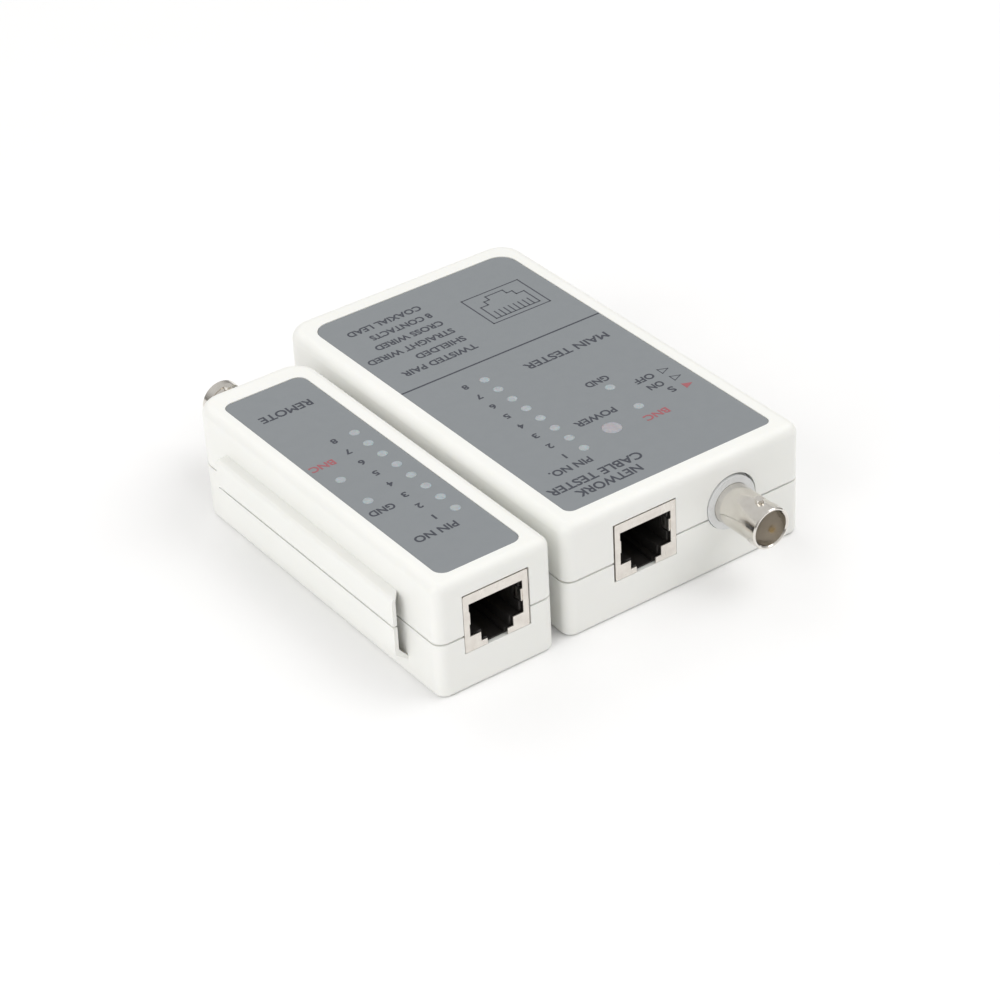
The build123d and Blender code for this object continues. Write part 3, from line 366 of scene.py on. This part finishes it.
class Print:
    """Gathers the lettering and lines of one ink on one label into a single mesh.

    The legend is read from the far end, so a reader's right is -X and up is -Y.
    """

    def __init__(self, name, unit, material, body):
        self.mesh = bmesh.new()
        self.name = name
        self.material = material
        self.body = body
        self.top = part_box(unit + "_label")[1].z + INK_LIFT

    def text(self, words, x, y, width, height):
        """words centred on x, y and stretched to this width and height."""
        shape = letter_mesh(words)
        low = [min(v.co[i] for v in shape.vertices) for i in range(3)]
        high = [max(v.co[i] for v in shape.vertices) for i in range(3)]
        middle = [(a + b) / 2 for a, b in zip(low, high)]
        scale_x = -(width - 2 * STROKE_GROWTH) * MM / (high[0] - low[0])
        scale_y = -(height - 2 * STROKE_GROWTH) * MM / (high[1] - low[1])
        scale_z = INK_T / (high[2] - low[2])
        printed = [Vector((x * MM + (v.co.x - middle[0]) * scale_x,
                           y * MM + (v.co.y - middle[1]) * scale_y,
                           self.top + (v.co.z - low[2]) * scale_z)) for v in shape.vertices]
        # four copies, each off the middle and a hair higher than the last, thicken the strokes
        for i, (side, end) in enumerate(((-1, -1), (-1, 1), (1, -1), (1, 1))):
            shift = Vector((side * STROKE_GROWTH * MM, end * STROKE_GROWTH * MM, i * COPY_RISE))
            for vertex, place in zip(shape.vertices, printed):
                vertex.co = place + shift
            self.mesh.from_mesh(shape)
        bpy.data.meshes.remove(shape)

    def solid(self, points):
        """A filled outline."""
        low = [self.mesh.verts.new((x * MM, y * MM, self.top)) for x, y in points]
        high = [self.mesh.verts.new((x * MM, y * MM, self.top + INK_T)) for x, y in points]
        self.mesh.faces.new(high)
        self.mesh.faces.new(low[::-1])
        for i in range(len(points)):
            j = (i + 1) % len(points)
            self.mesh.faces.new((low[i], low[j], high[j], high[i]))

    def line(self, start, end, width=STROKE_W):
        """A straight stroke that goes half its width past both ends."""
        a, b = Vector(start), Vector(end)
        along = (b - a).normalized() * width / 2
        side = Vector((-along.y, along.x))
        corners = [a - along + side, a - along - side, b + along - side, b + along + side]
        self.solid([tuple(c) for c in corners])

    def outline(self, points, width=STROKE_W):
        """Strokes round a closed outline."""
        for start, end in zip(points, points[1:] + points[:1]):
            self.line(start, end, width)

    def numerals(self, x, first_y, pitch):
        """1 to 8, beside the pin LEDs."""
        for i in range(PINS):
            width = NUMERAL_1_W if i == 0 else NUMERAL_W
            self.text(str(i + 1), x, first_y + pitch * i, width, NUMERAL_H)

    def finish(self):
        """Makes the piece, which rides with its label."""
        bmesh.ops.recalc_face_normals(self.mesh, faces=self.mesh.faces)
        mesh = bpy.data.meshes.new(self.name)
        self.mesh.to_mesh(mesh)
        self.mesh.free()
        item = bpy.data.objects.new(self.name, mesh)
        bpy.context.collection.objects.link(item)
        mesh.materials.append(self.material)
        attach(item, self.body)


def letter_mesh(words):
    """words in Blender's own font, as a solid mesh that is still to be scaled."""
    curve = bpy.data.curves.new("text", "FONT")
    curve.body = words
    curve.resolution_u = 4
    curve.extrude = 0.5
    item = bpy.data.objects.new("text", curve)
    bpy.context.collection.objects.link(item)
    bpy.context.view_layer.update()
    graph = bpy.context.evaluated_depsgraph_get()
    shape = bpy.data.meshes.new_from_object(item.evaluated_get(graph))
    bpy.data.objects.remove(item)
    return shape


def print_main():
    """Legend of the main unit, placed from its middle."""
    dark = Print("main_legend_dark", "main", dark_ink, "main_unit")
    red = Print("main_legend_red", "main", red_ink, "main_unit")
    dark.text("NETWORK", -13.0, -43.95, 16.2, TITLE_H)
    dark.text("CABLE TESTER", -13.7, -40.2, 23.6, TITLE_H)
    dark.text("PIN NO.", -16.0, -34.9, 10.3, HEAD_H)
    dark.text("POWER", -0.4, -22.9, 10.4, HEAD_H)
    dark.text("GND", 8.6, -11.7, 5.9, MARK_H)
    dark.text("OFF", 17.0, -17.3, 5.0, MARK_H)
    dark.text("ON", 17.2, -21.1, 3.9, MARK_H)
    dark.text("S", 18.9, -24.5, 1.5, MARK_H)
    dark.text("MAIN TESTER", 11.4, 2.9, 22.2, UNIT_NAME_H)
    red.text("BNC", 10.2, -30.2, 6.2, MARK_H)
    dark.numerals(x=-14.5, first_y=-30.8, pitch=5.07)
    print_list(dark)
    print_divider(dark)
    print_arrows(dark, red)
    print_jack_picture(dark)
    dark.finish()
    red.finish()


def print_list(dark):
    """What the tester takes, one kind to a line, flush on the reader's left."""
    flush_x, first_y, pitch = -2.4, 17.6, 4.35
    for i, words in enumerate(("TWISTED PAIR", "SHIELDED", "STRAIGHT WIRED", "CROSS WIRED",
                               "8 CONTACTS", "COAXIAL LEAD")):
        width = LIST_LETTER_W * len(words)
        dark.text(words, flush_x - width / 2, first_y + pitch * i, width, LIST_H)


def print_divider(dark):
    """The line across the label, between the lights and the list."""
    y, end_gap = 11.25, 0.25
    low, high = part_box("main_label")
    dark.line((low.x / MM + end_gap, y), (high.x / MM - end_gap, y), DIVIDER_W)


def print_arrows(dark, red):
    """Arrowheads at the switch's three positions: two open ones and a filled one."""
    dark.outline(arrowhead(21.4, -17.2, length=2.2, half_width=1.0), ARROW_STROKE_W)
    dark.outline(arrowhead(21.7, -21.1, length=2.2, half_width=1.0), ARROW_STROKE_W)
    red.solid(arrowhead(21.7, -25.1, length=2.3, half_width=1.1))


def arrowhead(x, y, length, half_width):
    """Corners of a triangle that points along X, from the middle of its base."""
    return [(x, y - half_width), (x, y + half_width), (x + length, y)]


def print_jack_picture(dark):
    """Outline of a modular jack with its eight contacts."""
    left, right, near, far = 6.1, 21.7, 22.65, 35.3
    middle = (left + right) / 2
    dark.outline([(left, near), (right, near), (right, far), (left, far)])
    right_steps = [(6.0, 1.5), (6.0, 7.6), (3.9, 7.6), (3.9, 9.3), (2.4, 9.3), (2.4, 11.0)]
    left_steps = [(-x, y) for x, y in reversed(right_steps)]
    dark.outline([(middle + x, near + y) for x, y in right_steps + left_steps])
    contact_pitch, contact_near, contact_far = 1.3, 1.6, 4.4
    for i in range(PINS):
        x = middle + (i - (PINS - 1) / 2) * contact_pitch
        dark.line((x, near + contact_near), (x, near + contact_far))


def print_remote():
    """Legend of the remote unit, placed from the main unit's middle."""
    dark = Print("remote_legend_dark", "remote", dark_ink, "remote_unit")
    red = Print("remote_legend_red", "remote", red_ink, "remote_unit")
    dark.text("PIN NO", -50.9, -36.4, 10.2, HEAD_H)
    dark.text("GND", -54.9, -23.0, 6.0, MARK_H)
    dark.text("REMOTE", -49.5, 21.6, 12.8, UNIT_NAME_H)
    red.text("BNC", -55.3, -1.5, 6.0, MARK_H)
    dark.numerals(x=-48.15, first_y=-31.8, pitch=5.25)
    dark.finish()
    red.finish()


# ---------------------------------------------------------------- LED windows
WINDOW_RISE = 0.05 * MM
WINDOW_R = 1.14 * MM
POWER_WINDOW_R = 2.2 * MM
WINDOW_SIDES = 40
# from the rim inwards: share of the radius and share of the rise
WINDOW_PROFILE = ((1.0, 0.0), (0.96, 0.55), (0.85, 0.85), (0.5, 1.0))
# tops that differ by less than this in height are level, and in place are one LED
LEVEL = 0.001 * MM
ONE_LED = 1.0 * MM


def led_windows(name, source, label, radius, material, body):
    """One low lens-shaped spot on the label over each LED of a CAD node."""
    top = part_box(label)[1].z
    mesh = bmesh.new()
    for x, y in led_centres(source):
        rings = []
        for share, height in WINDOW_PROFILE:
            ring = []
            for i in range(WINDOW_SIDES):
                angle = 2 * math.pi * i / WINDOW_SIDES
                ring.append(mesh.verts.new((x + radius * share * math.cos(angle),
                                            y + radius * share * math.sin(angle),
                                            top + WINDOW_RISE * height)))
            rings.append(ring)
        for outer, inner in zip(rings, rings[1:]):
            for i in range(WINDOW_SIDES):
                j = (i + 1) % WINDOW_SIDES
                mesh.faces.new((outer[i], outer[j], inner[j], inner[i]))
        mesh.faces.new(rings[-1])
        mesh.faces.new(rings[0][::-1])
    data = bpy.data.meshes.new(name)
    mesh.to_mesh(data)
    mesh.free()
    for face in data.polygons:
        face.use_smooth = True
    item = bpy.data.objects.new(name, data)
    bpy.context.collection.objects.link(item)
    data.materials.append(material)
    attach(item, body)


def led_centres(node):
    """X and Y of each LED in a CAD node, from the top vertex of its dome."""
    vertices = [v.co for v in nodes[node].data.vertices]
    highest = max(v.z for v in vertices)
    centres = []
    for v in vertices:
        if v.z > highest - LEVEL and all((v.xy - c).length > ONE_LED for c in centres):
            centres.append(v.xy.copy())
    return [tuple(c) for c in sorted(centres, key=lambda c: c.y)]


def add_windows():
    """The windows of both units, a piece for each kind of LED."""
    for name, leds, unit, radius, material in (
            ("main_windows", "pin_leds", "main", WINDOW_R, clear_window),
            ("main_status_windows", "status_leds", "main", WINDOW_R, clear_window),
            ("main_power_window", "power_led", "main", POWER_WINDOW_R, pink_window),
            ("remote_windows", "pin_leds", "remote", WINDOW_R, clear_window),
            ("remote_status_windows", "status_leds", "remote", WINDOW_R, clear_window)):
        led_windows(name, f"{unit}_{leds}", f"{unit}_label", radius, material, f"{unit}_unit")


# ---------------------------------------------------------------- stage
FLOOR_SIDE = 6.0
FLOOR_DROP = 0.05 * MM
LIGHT_TARGET = (-0.015, -0.01, 0.01)
WORLD_STRENGTH = 0.68
# Z of the direction looked in, and the world's colour there
WORLD_LOW = (0.05, (0.30, 0.29, 0.28, 1.0))
WORLD_HIGH = (0.55, (1.0, 0.99, 0.98, 1.0))


def build_stage():
    """Floor, world and three soft lights."""
    bpy.ops.mesh.primitive_plane_add(size=FLOOR_SIDE, location=(0, 0, -FLOOR_DROP))
    floor = bpy.context.object
    floor.name = "floor"
    floor.data.materials.append(floor_sheet())
    light_world()
    add_light("key", place=(0.60, -0.34, 0.9), side=0.9, power=4.9)
    add_light("fill", place=(-0.9, -0.20, 0.5), side=0.9, power=4.4)
    back = add_light("back", place=(0.1, 0.9, 0.7), side=0.8, power=2.1)
    # kept out of reflections, because it would burn out the remote's coax barrel
    back.visible_glossy = False


def light_world():
    """Pale studio all round, greyer towards the floor."""
    world = bpy.data.worlds.new("studio")
    bpy.context.scene.world = world
    world.use_nodes = True
    background = world.node_tree.nodes["Background"]
    coordinates = add_node(world, "TexCoord")
    split = add_node(world, "SeparateXYZ")
    colours = add_node(world, "ValToRGB")
    for element, (height, colour) in zip(colours.color_ramp.elements, (WORLD_LOW, WORLD_HIGH)):
        element.position = height
        element.color = colour
    link(world, coordinates.outputs["Generated"], split.inputs["Vector"])
    link(world, split.outputs["Z"], colours.inputs["Fac"])
    link(world, colours.outputs["Color"], background.inputs["Color"])
    background.inputs["Strength"].default_value = WORLD_STRENGTH


def add_light(name, place, side, power):
    """A square light aimed at the object; power is in watts."""
    data = bpy.data.lights.new(name, "AREA")
    data.shape = "SQUARE"
    data.size = side
    data.energy = power
    light = bpy.data.objects.new(name, data)
    light.location = place
    light.rotation_mode = "QUATERNION"
    light.rotation_quaternion = (Vector(LIGHT_TARGET) - light.location).to_track_quat("-Z", "Y")
    bpy.context.collection.objects.link(light)
    return light


# yaw turns from +Y towards +X, pitch looks down, and roll is about the line of sight
CAMERA_PLACE = (-0.31968, -0.45535, 0.36465)
CAMERA_YAW = 0.59672
CAMERA_PITCH = 0.58683
CAMERA_ROLL = -0.055784
CAMERA_LENS = 108.34
CAMERA_SENSOR = 36.0
CAMERA_NEAR = 0.01


def build_camera():
    """The photograph's view: high over the jack end, from the remote's side."""
    level = math.cos(CAMERA_PITCH)
    forward = Vector((math.sin(CAMERA_YAW) * level, math.cos(CAMERA_YAW) * level,
                      -math.sin(CAMERA_PITCH)))
    right = Vector((math.cos(CAMERA_YAW), -math.sin(CAMERA_YAW), 0.0))
    up = right.cross(forward)
    rolled_right = right * math.cos(CAMERA_ROLL) + up * math.sin(CAMERA_ROLL)
    rolled_up = up * math.cos(CAMERA_ROLL) - right * math.sin(CAMERA_ROLL)
    data = bpy.data.cameras.new("camera")
    data.sensor_width = CAMERA_SENSOR
    data.lens = CAMERA_LENS
    data.clip_start = CAMERA_NEAR
    camera = bpy.data.objects.new("camera", data)
    turn = Matrix((rolled_right, rolled_up, -forward)).transposed().to_4x4()
    camera.matrix_world = Matrix.Translation(CAMERA_PLACE) @ turn
    bpy.context.collection.objects.link(camera)
    bpy.context.scene.camera = camera


dress_nodes()
print_main()
print_remote()
add_windows()
build_stage()
build_camera()
bpy.context.scene.view_settings.view_transform = "Standard"
